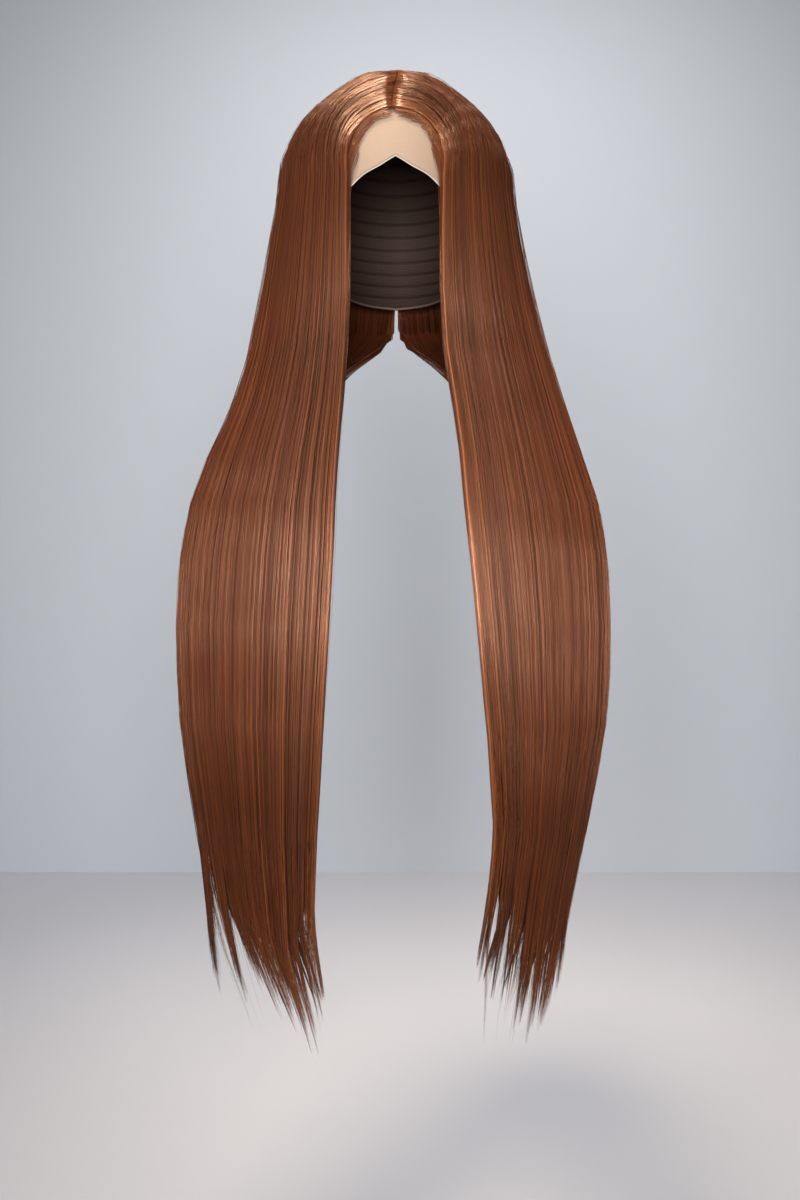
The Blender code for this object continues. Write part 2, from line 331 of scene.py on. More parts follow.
def courses(side, across, course):
    """Outer and inner points of the hair, on the +X side.

    course runs from 0 at the parting to 1 at the widest level of the head, and goes on in metres
    of height below that level.
    """
    across, course = np.broadcast_arrays(np.asarray(across, float), np.asarray(course, float))
    rim = section(side, across, np.full(across.shape, WIDEST_LEVEL))
    end, end_reach = head_direction(rim)

    angle = np.where(
        across < 1,
        mix(PARTING_FRONT_DEG, PARTING_EAR_DEG, across),
        mix(PARTING_EAR_DEG, PARTING_BACK_DEG, across - 1),
    )
    angle = np.radians(angle)
    root = np.stack([0 * angle, -np.sin(angle), np.cos(angle)], axis=-1)
    near_face = 1 - smooth_step(across / 0.5)
    middle = (root + end) / 2
    middle[..., 0] = end[..., 0] * (1 + 0.22 * near_face)
    middle[..., 2] = root[..., 2] * (0.85 + 0.15 * near_face)
    along = np.clip(course, 0, 1)
    t = along[..., None]
    direction = unit((1 - t) ** 2 * root + 2 * t * (1 - t) * middle + t**2 * end)
    tilt = np.degrees(np.arccos(np.clip(direction[..., 2], -1, 1)))
    reach = read(CROWN_FORM, 1, tilt) - PARTING_DIP[side] * (1 - smooth_step(along / 0.014))
    wave = np.sin(across * 2 * math.pi * WAVES + 2.2 * np.sin(along * 8) + WAVE_PHASE[side])
    beside_parting = smooth_step((along - 0.03) / 0.12) * (1 - smooth_step((along - 0.12) / 0.4))
    reach = reach + WAVE_LIFT * wave * beside_parting
    from_hairline = mix(HAIRLINE_SHARE, reach, smooth_step(across / HAIRLINE_SWELL))
    reach = np.where(across < 1, from_hairline, reach)
    reach = mix(reach, end_reach, smooth_step((along - 0.35) / 0.6))
    dome_outer = HEAD_CENTRE + direction * reach[..., None] * HEAD_HALF
    dome_inner = HEAD_CENTRE + direction * (HEAD_HALF + HAIR_CLEARANCE)

    level = WIDEST_LEVEL - np.maximum(course - 1, 0)
    hung_outer = section(side, across, level)
    hung_inner = section(side, across, level, inside=True)
    beside_head = HEAD_CENTRE + end * (HEAD_HALF + HAIR_CLEARANCE)
    share = smooth_step((WALL_LEVEL_TOP - level) / (WALL_LEVEL_TOP - WALL_LEVEL_FULL))[..., None]
    hung_inner = mix(beside_head, hung_inner, share)
    hung_inner[..., 2] = level

    over_head = (course < 1)[..., None]
    return np.where(over_head, dome_outer, hung_outer), np.where(over_head, dome_inner, hung_inner)


def to_side(points, side):
    return points * np.array([-1.0 if side == "left" else 1.0, 1.0, 1.0])


class Value:
    """A shader socket that takes part in Python expressions."""

    def __init__(self, finish, socket):
        self.finish, self.socket = finish, socket

    def math(self, operation, *values):
        inputs = dict(enumerate(values))
        return self.finish.node("ShaderNodeMath", {"operation": operation}, inputs)

    def __add__(self, other):
        return self.math("ADD", self, other)

    def __sub__(self, other):
        return self.math("SUBTRACT", self, other)

    def __rsub__(self, other):
        return self.math("SUBTRACT", other, self)

    def __mul__(self, other):
        return self.math("MULTIPLY", self, other)

    def between(self, low, high):
        """0 below low, 1 above high and smooth between them."""
        settings = {"interpolation_type": "SMOOTHSTEP"}
        return self.finish.node("ShaderNodeMapRange", settings, {"Value": self, 1: low, 2: high})


class Finish:
    """A material with a Principled BSDF, whose nodes are made from Python expressions."""

    def __init__(self, name, sockets):
        self.material = bpy.data.materials.new(name)
        self.material.use_nodes = True
        self.tree = self.material.node_tree
        self.shader = self.tree.nodes["Principled BSDF"]
        for key, value in sockets.items():
            self.feed(key, value)
        self.material.diffuse_color = self.shader.inputs["Base Color"].default_value

    def feed(self, key, value):
        """Sets or links a socket of the shader."""
        self.connect(self.shader.inputs[key], value)

    def connect(self, socket, value):
        if isinstance(value, Value):
            self.tree.links.new(value.socket, socket)
        else:
            socket.default_value = value

    def node(self, kind, settings=None, inputs=None, output=0):
        node = self.tree.nodes.new(kind)
        for key, value in (settings or {}).items():
            if key == "stops":
                self.set_stops(node.color_ramp, value)
            else:
                setattr(node, key, value)
        for key, value in (inputs or {}).items():
            self.connect(node.inputs[key], value)
        return Value(self, node.outputs[output])

    @staticmethod
    def set_stops(ramp, stops):
        while len(ramp.elements) < len(stops):
            ramp.elements.new(1.0)
        for element, (place, colour) in zip(ramp.elements, stops):
            element.position = place
            element.color = (*colour, 1.0)

    def attribute(self, name):
        return self.node("ShaderNodeAttribute", {"attribute_name": name}, output="Fac")

    def place(self, kind="Object"):
        return self.node("ShaderNodeTexCoord", output=kind)

    def axis(self, vector, which):
        return self.node("ShaderNodeSeparateXYZ", inputs={0: vector}, output=which)

    def stretched(self, vector, scale):
        return self.node("ShaderNodeMapping", inputs={"Vector": vector, "Scale": scale})

    def noise(self, vector, scale, detail=2.0, roughness=0.5):
        inputs = {"Vector": vector, "Scale": scale, "Detail": detail, "Roughness": roughness}
        return self.node("ShaderNodeTexNoise", inputs=inputs)

    def ramp(self, value, stops):
        return self.node("ShaderNodeValToRGB", {"stops": stops}, {0: value})

    def blend(self, share, a, b, how="MIX"):
        settings = {"data_type": "RGBA", "blend_type": how}
        return self.node("ShaderNodeMix", settings, {0: share, 6: a, 7: b}, output=2)

    def bump(self, height, strength, distance):
        inputs = {"Height": height, "Strength": strength, "Distance": distance}
        self.feed("Normal", self.node("ShaderNodeBump", inputs=inputs))


def rgba(colour):
    return (*colour, 1.0)


def add_mesh(name, points, faces, finish, attributes=None, caps=()):
    """A piece from points, four-sided faces, three-sided caps and the points' attributes."""
    mesh = bpy.data.meshes.new(name)
    mesh.vertices.add(len(points))
    mesh.vertices.foreach_set("co", np.ascontiguousarray(points, dtype=np.float32).ravel())
    corners = np.concatenate([np.ravel(faces), np.ravel(caps)]).astype(np.int32)
    sizes = np.concatenate([np.full(len(faces), 4), np.full(len(caps), 3)])
    mesh.loops.add(len(corners))
    mesh.loops.foreach_set("vertex_index", corners)
    mesh.polygons.add(len(sizes))
    mesh.polygons.foreach_set("loop_start", (np.cumsum(sizes) - sizes).astype(np.int32))
    mesh.update(calc_edges=True)
    mesh.validate()
    mesh.shade_smooth()
    for key, values in (attributes or {}).items():
        layer = mesh.attributes.new(key, "FLOAT", "POINT")
        layer.data.foreach_set("value", np.ascontiguousarray(values, dtype=np.float32).ravel())
    piece = bpy.data.objects.new(name, mesh)
    bpy.context.scene.collection.objects.link(piece)
    mesh.materials.append(finish.material)
    return piece


def add_uv(piece, across, along):
    """A UV map from one pair of values for each point."""
    mesh = piece.data
    index = np.empty(len(mesh.loops), dtype=np.int32)
    mesh.loops.foreach_get("vertex_index", index)
    layer = mesh.uv_layers.new(name="course")
    pairs = np.stack([across, along], axis=-1).astype(np.float32)
    layer.data.foreach_set("uv", pairs[index].ravel())


def grid_faces(wide, long, start=0, flip=False):
    """Faces of a grid of points that are numbered row by row, long points to a row."""
    i, j = np.meshgrid(np.arange(wide - 1), np.arange(long - 1), indexing="ij")
    corner = (start + i * long + j).ravel()
    faces = np.stack([corner, corner + 1, corner + long + 1, corner + long], axis=-1)
    return faces[:, ::-1] if flip else faces


def rim_faces(edge, shift, flip=False):
    """Faces between a row of points and the row numbered a shift later."""
    low, high = edge[:-1], edge[1:]
    faces = np.stack([low, high, high + shift, low + shift], axis=-1)
    return faces[:, ::-1] if flip else faces


def finish_piece(piece, slot, *nodes):
    """Lets a piece ride on the body, in place of the nodes named. slot is not used."""
    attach(piece, "root")
    if nodes:
        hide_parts(*nodes)


# Finishes


def hair_finish(name, settings, depth):
    """Copper hair: every strand has its own tone, with painted light and shade by height, and depth
    is how little dull patches show.
    """
    gloss = {"IOR": 1.55, "Specular IOR Level": 0.5, "Specular Tint": rgba(settings.gloss_tint)}
    finish = Finish(name, {"Roughness": settings.roughness, **gloss})
    tone = finish.attribute("tone")
    dark, mid = rgba(settings.shade_dark), rgba(settings.shade_mid)
    colour = finish.blend(tone.between(0.0, 0.62), dark, mid)
    colour = finish.blend(tone.between(0.6, 1.0), colour, rgba(settings.shade_light_and_highlight))
    height = finish.axis(finish.place(), "Z")
    # Painted light and shade by height: full in the band the front light falls on, darker above and
    # below it.
    height_shade = finish.ramp((height - LOWEST) * (1 / (HIGHEST - LOWEST)), HEIGHT_SHADES)
    colour = finish.blend(1.0, colour, height_shade, "MULTIPLY")
    patch = finish.noise(finish.place(), 22.0, 2.0)
    dull = finish.blend(1.0, colour, (0.72, 0.70, 0.68, 1), "MULTIPLY")
    bright = patch.between(0.3, 0.6) * (1 - depth) + depth
    finish.feed("Base Color", finish.blend(bright, dull, colour))
    finish.feed("Roughness", (1 - tone) * 0.35 + settings.roughness - 0.17)
    return finish


# The stage


class StageSettings(bpy.types.PropertyGroup):
    wall_colour: FloatVectorProperty(
        name="Wall colour",
        description="Colour of the backdrop",
        subtype="COLOR",
        default=(0.55, 0.575, 0.61),
    )
    floor_colour: FloatVectorProperty(
        name="Floor colour",
        description="Colour of the floor",
        subtype="COLOR",
        default=(0.40, 0.392, 0.412),
    )
    floor_level: FloatProperty(
        name="Floor level",
        description="Height of the floor, below the tips",
        default=-1.106,
        unit="LENGTH",
    )
    key_power: FloatProperty(
        name="Key light",
        description="Power of the light above the crown, to the left",
        default=3.1,
        unit="POWER",
    )
    front_power: FloatProperty(
        name="Front light",
        description="Power of the light level with the middle of the hair",
        default=25.0,
        unit="POWER",
    )
    wall_power: FloatProperty(
        name="Wall light",
        description="Power of the light that falls on the backdrop",
        default=15.5,
        unit="POWER",
    )
    back_power: FloatProperty(
        name="Back light",
        description="Power of the light behind the hair",
        default=4.5,
        unit="POWER",
    )


class WIG_OT_stage(bpy.types.Operator):
    """Add the floor, the backdrop, the lights and the camera"""

    bl_idname = "wig.stage"
    bl_label = "Stage"

    def execute(self, context):
        settings = context.scene.wig_stage
        ground = settings.floor_level
        self.add_plane("floor", (0, -1.25, ground), 0, settings.floor_colour, 1.7)
        wall_place = (0, BACKDROP_Y, ground + STAGE_SIZE / 2)
        self.add_plane("backdrop", wall_place, math.pi / 2, settings.wall_colour, 1.0)
        for name, place, aim, size, colour, spread in LIGHTS:
            power = getattr(settings, f"{name}_power")
            self.add_light(name, place, aim, size, power, colour, spread)
        world = bpy.data.worlds.new("studio")
        world.use_nodes = True
        background = world.node_tree.nodes["Background"]
        background.inputs["Color"].default_value = rgba(WORLD_COLOUR)
        background.inputs["Strength"].default_value = WORLD_STRENGTH
        context.scene.world = world
        context.scene.view_settings.view_transform = "Standard"
        self.add_camera(context)
        return {"FINISHED"}

    def add_plane(self, name, place, turn, colour, lift):
        """A plane of the stage, whose colour is lifted towards the backdrop: painted light that
        makes up for the light falling off over the far floor.
        """
        bpy.ops.mesh.primitive_plane_add(size=STAGE_SIZE, location=place, rotation=(turn, 0, 0))
        plane = bpy.context.object
        plane.name = name
        bpy.ops.object.transform_apply(location=True, rotation=True, scale=True)
        finish = Finish(name, {"Base Color": rgba(colour), "Roughness": 0.9})
        # Painted light: the floor's colour grows lighter towards the backdrop, where less light
        # falls.
        painted_light_share = finish.axis(finish.place(), "Y").between(0.0, 1.7)
        lifted = [min(0.9, c * lift) for c in colour]
        finish.feed("Base Color", finish.blend(painted_light_share, rgba(colour), rgba(lifted)))
        grain = finish.noise(finish.place(), 60.0, 3.0)
        finish.bump(grain, 0.15, 0.002)
        plane.data.materials.append(finish.material)

    def add_light(self, name, place, aim, size, power, colour, spread):
        bpy.ops.object.light_add(type="AREA", location=place)
        light = bpy.context.object
        light.name = name
        light.data.size = size
        light.data.energy = power
        light.data.color = colour
        light.data.spread = math.radians(spread)
        towards = Vector(aim) - Vector(place)
        light.rotation_euler = towards.to_track_quat("-Z", "Y").to_euler()

    def add_camera(self, context):
        bpy.ops.object.camera_add(location=CAMERA_PLACE, rotation=(math.pi / 2, 0, 0))
        camera = context.object
        camera.name = "camera"
        camera.data.sensor_fit = "VERTICAL"
        camera.data.sensor_height = SENSOR_HEIGHT
        camera.data.lens = CAMERA_LENS
        context.scene.camera = camera


# The lace and the cap


class CapSettings(bpy.types.PropertyGroup):
    lace_colour: FloatVectorProperty(
        name="Lace colour",
        description="Colour of the lace over the forehead",
        subtype="COLOR",
        default=(0.232, 0.160, 0.115),
    )
    thread_colour: FloatVectorProperty(
        name="Edge colour",
        description="Colour of the raised thread along the lace's edge",
        subtype="COLOR",
        default=(0.42, 0.34, 0.27),
    )
    cap_colour: FloatVectorProperty(
        name="Cap colour",
        description="Colour of the cap's net",
        subtype="COLOR",
        default=(0.038, 0.021, 0.014),
    )
    weft_pitch: FloatProperty(
        name="Weft pitch",
        description="Distance between two rows of weft",
        default=0.0125,
        unit="LENGTH",
    )


def dome_grid(start_deg, end_deg, edge, columns, rows):
    """Turns round the head and angles from its top, from the crown to an edge, columns first."""
    turn = np.linspace(start_deg, end_deg, columns)
    level = read(edge, 1, np.minimum(np.abs(turn), 360 - np.abs(turn))) * MM
    lowest = np.arccos((level - HEAD_CENTRE[2]) / HEAD_HALF[2])
    polar = lowest[:, None] * np.linspace(0.02, 1.0, rows)[None, :]
    return np.radians(turn)[:, None] + 0 * polar, polar


def on_head(turn, polar, clearance):
    """Points at a clearance from the head, which may differ from point to point."""
    x, y = np.sin(turn) * np.sin(polar), -np.cos(turn) * np.sin(polar)
    direction = np.stack([x, y, np.cos(polar)], axis=-1)
    return HEAD_CENTRE + direction * (HEAD_HALF + np.asarray(clearance)[..., None])


def add_panel(name, turn, polar, points, thickness, finish):
    """A panel on the head with a wall of its own, and a UV map in metres for its net."""
    panel = add_mesh(name, points.reshape(-1, 3), grid_faces(*turn.shape), finish)
    add_uv(panel, turn.ravel() * NET_TURN, polar.ravel() * NET_FALL)
    wall = panel.modifiers.new("wall", "SOLIDIFY")
    wall.thickness = thickness
    wall.offset = 1.0
    bpy.context.view_layer.objects.active = panel
    bpy.ops.object.modifier_apply(modifier="wall")
    return panel


def net_holes(finish, pitch):
    """1 in the holes of a net and 0 on its threads."""
    uv = finish.node("ShaderNodeUVMap", {"uv_map": "course"})
    inputs = {"Vector": uv, "Scale": 1 / pitch, "Randomness": 0.15}
    net = finish.node("ShaderNodeTexVoronoi", {"feature": "DISTANCE_TO_EDGE"}, inputs)
    return net.between(0.02, 0.22)


def edge_cord(name, line, radius, finish):
    """A round cord along a line of points."""
    curve = bpy.data.curves.new(name, "CURVE")
    curve.dimensions = "3D"
    curve.bevel_depth = radius
    curve.bevel_resolution = 2
    curve.use_fill_caps = True
    spline = curve.splines.new("POLY")
    spline.points.add(len(line) - 1)
    for point, place in zip(spline.points, line):
        point.co = (*place, 1.0)
    cord = bpy.data.objects.new(name, curve)
    bpy.context.scene.collection.objects.link(cord)
    bpy.ops.object.select_all(action="DESELECT")
    cord.select_set(True)
    bpy.context.view_layer.objects.active = cord
    bpy.ops.object.convert(target="MESH")
    cord = bpy.context.object
    cord.data.materials.append(finish.material)
    bpy.ops.object.shade_smooth()
    return cord


class WIG_OT_lace(bpy.types.Operator):
    """Add the lace panel over the front of the head, with its raised edge"""

    bl_idname = "wig.lace"
    bl_label = "Lace front"

    def execute(self, context):
        settings = context.scene.wig_cap
        colour = settings.lace_colour
        finish = Finish("lace", {"Base Color": rgba(colour), "Roughness": 0.75})
        hole = net_holes(finish, LACE_PITCH)
        blotch = finish.noise(finish.place(), 35.0, 3.0)
        tone = finish.blend(blotch, rgba([c * 0.93 for c in colour]), rgba(colour))
        finish.feed("Base Color", finish.blend(hole * 0.35, tone, rgba([c * 0.8 for c in colour])))
        finish.feed("Alpha", 1 - hole * 0.12)
        finish.bump(1 - hole, 0.35, 0.0004)
        turn, polar = dome_grid(-90, 90, LACE_EDGE, 121, 61)
        points = on_head(turn, polar, LACE_CLEARANCE)
        points[..., 1] -= SEAM_SHIFT
        panel = add_panel("lace_panel", turn, polar, points, LACE_WALL, finish)
        finish_piece(panel, "lace", "lace_front")

        thread_colour = rgba(settings.thread_colour)
        thread = Finish("lace_thread", {"Base Color": thread_colour, "Roughness": 0.6})
        twist = thread.noise(thread.place(), 900.0, 2.0)
        thread.bump(twist, 0.4, 0.0003)
        turn, polar = dome_grid(-90, 90, LACE_EDGE, 181, 2)
        rim = on_head(turn, polar, 0.6 * MM)[:, 1]
        cord = edge_cord("lace_edge", rim, LACE_EDGE_RADIUS, thread)
        finish_piece(cord, "lace")
        return {"FINISHED"}


class WIG_OT_cap(bpy.types.Operator):
    """Add the weft cap over the back of the head, with its rows of weft and its band"""

    bl_idname = "wig.cap"
    bl_label = "Weft cap"

    def execute(self, context):
        settings = context.scene.wig_cap
        finish = Finish("cap_net", {"Roughness": 0.8, "Specular IOR Level": 0.2})
        phase = finish.axis(finish.place(), "Z") * (2 * math.pi / settings.weft_pitch)
        row = phase.math("SINE", phase)
        hole = net_holes(finish, CAP_PITCH)
        stitch = finish.noise(finish.stretched(finish.place(), (500, 500, 1200)), 1.0, 3.0)
        colour = settings.cap_colour
        net_colour = finish.blend(hole, rgba(colour), rgba([c * 0.4 for c in colour]))
        weft = finish.blend(stitch, rgba(WEFT_DARK), rgba(WEFT_LIGHT))
        finish.feed("Base Color", finish.blend(row.between(0.66, 0.8), net_colour, weft))
        finish.bump(stitch + hole * -0.5, 0.5, 0.0005)
        turn, polar = dome_grid(90, 270, CAP_EDGE, 91, 109)
        level = on_head(turn, polar, CAP_CLEARANCE)[..., 2]
        ridge = np.sin(level * 2 * math.pi / settings.weft_pitch)
        inset = smooth_step((ridge - 0.6) / 0.3) * WEFT_INSET
        points = on_head(turn, polar, CAP_CLEARANCE - inset)
        points[..., 1] += SEAM_SHIFT
        cap = add_panel("cap_shell", turn, polar, points, CAP_WALL, finish)
        finish_piece(cap, "cap", "weft_cap")

        band = Finish("cap_band", {"Base Color": rgba((0.045, 0.022, 0.015)), "Roughness": 0.7})
        rib = band.noise(band.place(), 700.0, 2.0)
        band.bump(rib, 0.4, 0.0004)
        turn, polar = dome_grid(90, 270, CAP_EDGE, 121, 2)
        rim = on_head(turn, polar, 0.8 * MM)[:, 1]
        cord = edge_cord("cap_edge", rim, CAP_EDGE_RADIUS, band)
        finish_piece(cord, "cap")
        return {"FINISHED"}


# The hair


class HairSettings(bpy.types.PropertyGroup):
    shade_dark: FloatVectorProperty(
        name="Dark strands",
        description="Colour of the darkest strands",
        subtype="COLOR",
        default=(0.025, 0.0048, 0.0014),
    )
    shade_mid: FloatVectorProperty(
        name="Copper strands",
        description="Colour of most strands",
        subtype="COLOR",
        default=(0.062, 0.0158, 0.0058),
    )
    # The lightest strands, and also the colour of the painted light at roots, tips and along the
    # edges.
    shade_light_and_highlight: FloatVectorProperty(
        name="Light strands",
        description="Colour of the lightest strands",
        subtype="COLOR",
        default=(0.21, 0.07, 0.030),
    )
    gloss_tint: FloatVectorProperty(
        name="Gloss tint",
        description="Tint of the hair's highlights",
        subtype="COLOR",
        default=(1.0, 0.54, 0.35),
    )
    roughness: FloatProperty(
        name="Roughness",
        description="How dull the hair is",
        default=0.36,
        subtype="FACTOR",
    )
    strand_width: FloatProperty(
        name="Strand width",
        description="Width of one modelled strand, which stands for a few real hairs",
        default=0.00043,
        unit="LENGTH",
    )
    strands_front: IntProperty(
        name="Front strands",
        description="Strands in the front layer of each side",
        default=1500,
    )
    strands_back: IntProperty(
        name="Back strands",
        description="Strands in the back layer of each side",
        default=1200,
    )


def strand_tubes(name, side, lines, outward, widths, tones, finish):
    """Joins strands into one piece. Each is a closed tube with three sides."""
    count, length = lines.shape[:2]
    tangent = unit(np.gradient(lines, axis=1))
    sideways = unit(np.cross(tangent, outward))
    lifted = unit(np.cross(sideways, tangent))
    ring = []
    for turn in (0, 2 * math.pi / 3, 4 * math.pi / 3):
        spoke = math.cos(turn) * lifted + math.sin(turn) * sideways
        ring.append(lines + spoke * widths[..., None] / 2)
    points = to_side(np.stack(ring, axis=2), side).reshape(-1, 3)
    first = np.arange(count)[:, None, None] * length * 3
    step = first + np.arange(length - 1)[None, :, None] * 3
    around = np.arange(3)[None, None, :]
    low, high = (step + around).ravel(), (step + (around + 1) % 3).ravel()
    walls = np.stack([low, high, high + 3, low + 3], axis=-1)
    root = first.ravel()
    tip = root + (length - 1) * 3
    root_caps = np.stack([root, root + 2, root + 1], axis=-1)
    tip_caps = np.stack([tip, tip + 1, tip + 2], axis=-1)
    caps = np.concatenate([root_caps, tip_caps])
    if side == "left":
        walls, caps = walls[:, ::-1], caps[:, ::-1]
    return add_mesh(name, points, walls, finish, {"tone": np.repeat(tones, 3)}, caps=caps)


class Strands:
    """A set of strands of one layer, from which their lines are worked out."""

    def __init__(self, rng, side, count):
        self.rng, self.side, self.count = rng, side, count
        self.across = np.zeros(count)
        self.depth = np.zeros(count)
        self.starts = np.zeros(count)
        self.ends = np.ones(count)
        self.tones = np.zeros(count)
        self.bend = None
        self.wander = 1.0

    def lines(self, dome, hang):
        """Lines of the strands, their outward directions and the metres along the hair.

        dome is the number of points over the head and hang the number below it.
        """
        over = self.uneven(np.linspace(0, 1, dome)) ** 1.15
        share = np.linspace(0, 1, hang + 1)[1:]
        top = np.minimum(self.starts, 1.0)[:, None]
        turn = np.clip(self.ends[:, None], top + 0.02, 1.0)
        levels = (0.0, *HANG_STEPS)
        steps = np.interp(share * len(HANG_STEPS), np.arange(len(levels)), levels)
        below = turn + np.minimum(steps, np.maximum(self.ends - 1, 0.0)[:, None] * share)
        course = np.concatenate([top + (turn - top) * over, below], axis=1)
        place = np.where(course < 1, course * 0.2, course - 0.8)
        across, shift = self.across[:, None] + 0 * course, 0.0
        if self.bend is not None:
            across, shift = self.bend(across, course, place)
        fade = smooth_step((place - place[:, :1]) / 0.08)
        across = across + self.drift(place, (0.35, 0.9), (0.0002, 0.0008)) * fade
        depth = self.depth[:, None] + self.drift(place, (0.3, 0.7), (0.001, 0.003)) * fade
        outer, inner = courses(self.side, across, course)
        lines = inner + (outer - inner) * depth[..., None]
        lines[..., 0] += shift
        return lines, unit(outer - inner), place

    def uneven(self, shares):
        """Moves the inner points of each strand along it, so that no two bend at one place."""
        move = self.rng.uniform(-0.2, 0.2, (self.count, len(shares))) * (shares[1] - shares[0])
        move[:, [0, -1]] = 0.0
        return shares + move

    def drift(self, place, periods, sizes):
        """Smooth wandering of each strand, one row for each strand."""
        total = np.zeros(place.shape)
        for period, size in zip(periods, sizes):
            phase = self.rng.uniform(0, 2 * math.pi, (self.count, 1))
            stretch = self.rng.uniform(0.7, 1.4, (self.count, 1))
            sway = self.rng.normal(0, self.wander, (self.count, 1))
            total += size * sway * np.sin(place * 2 * math.pi / period * stretch + phase)
        return total

    def shaded(self, place):
        """Tone of each point, with painted light: a strand is lighter where it leaves the parting,
        beside which the key light leaves a dark stripe, and at its tip, where less light falls.
        """
        # Painted light at the roots beside the parting and at the tips.
        root_light = 1 - smooth_step(place / 0.018)
        tip_light = smooth_step(1 - (place[:, -1:] - place) / 0.07)
        return np.clip(self.tones[:, None] + 0.35 * root_light + 0.45 * tip_light, 0, 1)

    def part(self, lines, place):
        """Keeps the strands on their side of the parting, which runs in a zigzag."""
        sign = -1.0 if self.side == "left" else 1.0
        lines[..., 0] = np.maximum(lines[..., 0], 0.0003)
        start_y = lines[:, :1, 1]
        zigzag = 0.0022 * np.sin(start_y * 260 + 1.9) + 0.0009 * np.sin(start_y * 610)
        lines[..., 0] += sign * zigzag * (1 - smooth_step(place / 0.035))
        return lines


def taper(place, root, tip):
    """Width along strands, from 0 to 1: full between a root and a tip of the given lengths."""
    left = place[:, -1:] - place
    grown = 0.85 + 0.15 * smooth_step((place - place[:, :1]) / root)
    return grown * np.maximum(np.clip(left / tip, 0.0, 1.0) ** 0.75, 0.08)


def round_section(across):
    """Share of the way round a side's section, from 0 at the face edge to 2 at the nape edge."""
    fine = np.linspace(0, 2, 401)
    speed = np.hypot(np.cos(fine * math.pi / 2), 0.25 * np.sin(fine * math.pi / 2))
    way = np.concatenate([[0], np.cumsum((speed[1:] + speed[:-1]) / 2)])
    return np.interp(across, fine, 2 * way / way[-1])


def clump_strands(rng, side, layer, count):
    """Strands of a layer, in clumps with narrow gaps between them, in locks with pointed tips."""
    table = np.array(LOCKS[f"{layer}_{side}"], dtype=float)
    span = table[:, 1] - table[:, 0]
    clumps = len(table) * CLUMPS_PER_LOCK
    lock_of = np.repeat(np.arange(len(table)), CLUMPS_PER_LOCK)
    width = rng.uniform(0.5, 1.6, (len(table), CLUMPS_PER_LOCK))
    width = (width / width.sum(axis=1, keepdims=True) * span[:, None]).ravel()
    low = np.concatenate([[table[0, 0]], table[0, 0] + np.cumsum(width)[:-1]])
    centre = low + width / 2
    lift = rng.normal(0, 0.012, clumps)
    tone = rng.normal(0, 0.03, clumps)
    short = rng.uniform(0, 0.03, clumps)

    strands = Strands(rng, side, count)
    girth = np.hypot(np.cos(centre * math.pi / 2), 0.25 * np.sin(centre * math.pi / 2))
    clump = rng.choice(clumps, count, p=width * girth / np.sum(width * girth))
    u = rng.uniform(-1, 1, count)
    strands.across = centre[clump] + u * width[clump] * 0.48
    thread = np.floor(round_section(strands.across) * THREADS).astype(int)
    thread_tone = np.where(
        rng.uniform(0, 1, THREAD_CELLS) < 0.25,
        rng.uniform(-0.5, -0.15, THREAD_CELLS),
        rng.normal(0.06, 0.08, THREAD_CELLS),
    )
    fall = rng.exponential(0.03, count)
    strands.depth = 0.965 + lift[clump] - 0.07 * np.abs(u) ** 5 - np.minimum(fall, 0.3)
    strands.depth += 0.03 * thread_tone[thread]
    in_front = layer == "front"
    inside = rng.uniform(0, 1, count) < (0.05 if in_front else 0.14)
    strands.depth[inside] = rng.uniform(0.0, 0.3, inside.sum())
    edge = rng.uniform(0, 1, count) < EDGE_SHARE
    rim = rng.uniform(0.0, 0.012, count)
    strands.across = np.where(edge, rim if in_front else 2 - rim, strands.across)
    clump = np.where(edge, 0 if in_front else clumps - 1, clump)
    strands.depth[edge] = rng.uniform(0.02, 1.0, edge.sum())
    strands.depth = np.minimum(strands.depth, 1.0)
    lock = lock_of[clump]
    tip = 1 + WIDEST_LEVEL - table[lock, 3] * MM
    shorter = rng.exponential(0.018, count)
    shorter += (rng.uniform(0, 1, count) < 0.12) * rng.uniform(0, 0.22, count)
    strands.ends = tip - short[clump] - shorter
    strands.starts = rng.uniform(0, 0.01, count)
    strands.tones = 0.52 + rng.normal(0, 0.10, count) + tone[clump] + thread_tone[thread]
    # Painted shade: strands at the sides of a clump, in the gaps between clumps, are darker.
    gap_shade = 0.3 * np.abs(u) ** 8
    # Painted highlights: strands along the face and nape edges get light tones.
    strands.tones = np.where(edge, 0.75 + 0.25 * (rim < 0.005), strands.tones - gap_shade)
    # Painted highlight: front strands grow lighter towards the face edge.
    if in_front:
        strands.tones += 0.35 * smooth_step(1 - strands.across / 0.09)
    strands.tones = np.clip(strands.tones, 0, 1)

    lock_centre = (table[lock, 0] + table[lock, 1]) / 2
    outer, inner = courses(side, lock_centre, tip)
    pull = table[lock, 2] * MM - (outer[:, 0] + inner[:, 0]) / 2
    from_edge = smooth_step(np.minimum(centre, 2 - centre) / 0.08)
    squeeze = (rng.uniform(0.15, 0.6, clumps) * from_edge)[clump][:, None]
    apart = table[lock, 4][:, None]
    reach, grip = 0.10 + 0.06 * apart, 0.16 + 0.60 * apart
    wave = rng.normal(0, 1, (clumps, 2))[clump]
    phase = rng.uniform(0, 2 * math.pi, (clumps, 2))[clump]

    def bend(across, course, place):
        into_lock = smooth_step(1 - (tip[:, None] - course) / reach)
        into_clump = smooth_step(1 - (tip[:, None] - short[clump][:, None] - course) / 0.12)
        curl = np.sin(place * 2 * math.pi / 0.17 + phase[:, :1]) * wave[:, :1] * 0.006
        curl = curl * (smooth_step(place / 0.03) - smooth_step((place - 0.12) / 0.12))
        sway = np.sin(place * 2 * math.pi / 0.5 + phase[:, 1:]) * wave[:, 1:] * 0.0008
        across = across + curl + sway * smooth_step(place / 0.1)
        across = mix(across, centre[clump][:, None], squeeze * into_clump)
        across = mix(across, lock_centre[:, None], grip * into_lock)
        return np.clip(across, 0.0, 2.0), pull[:, None] * into_lock**1.3

    strands.bend = bend
    return strands


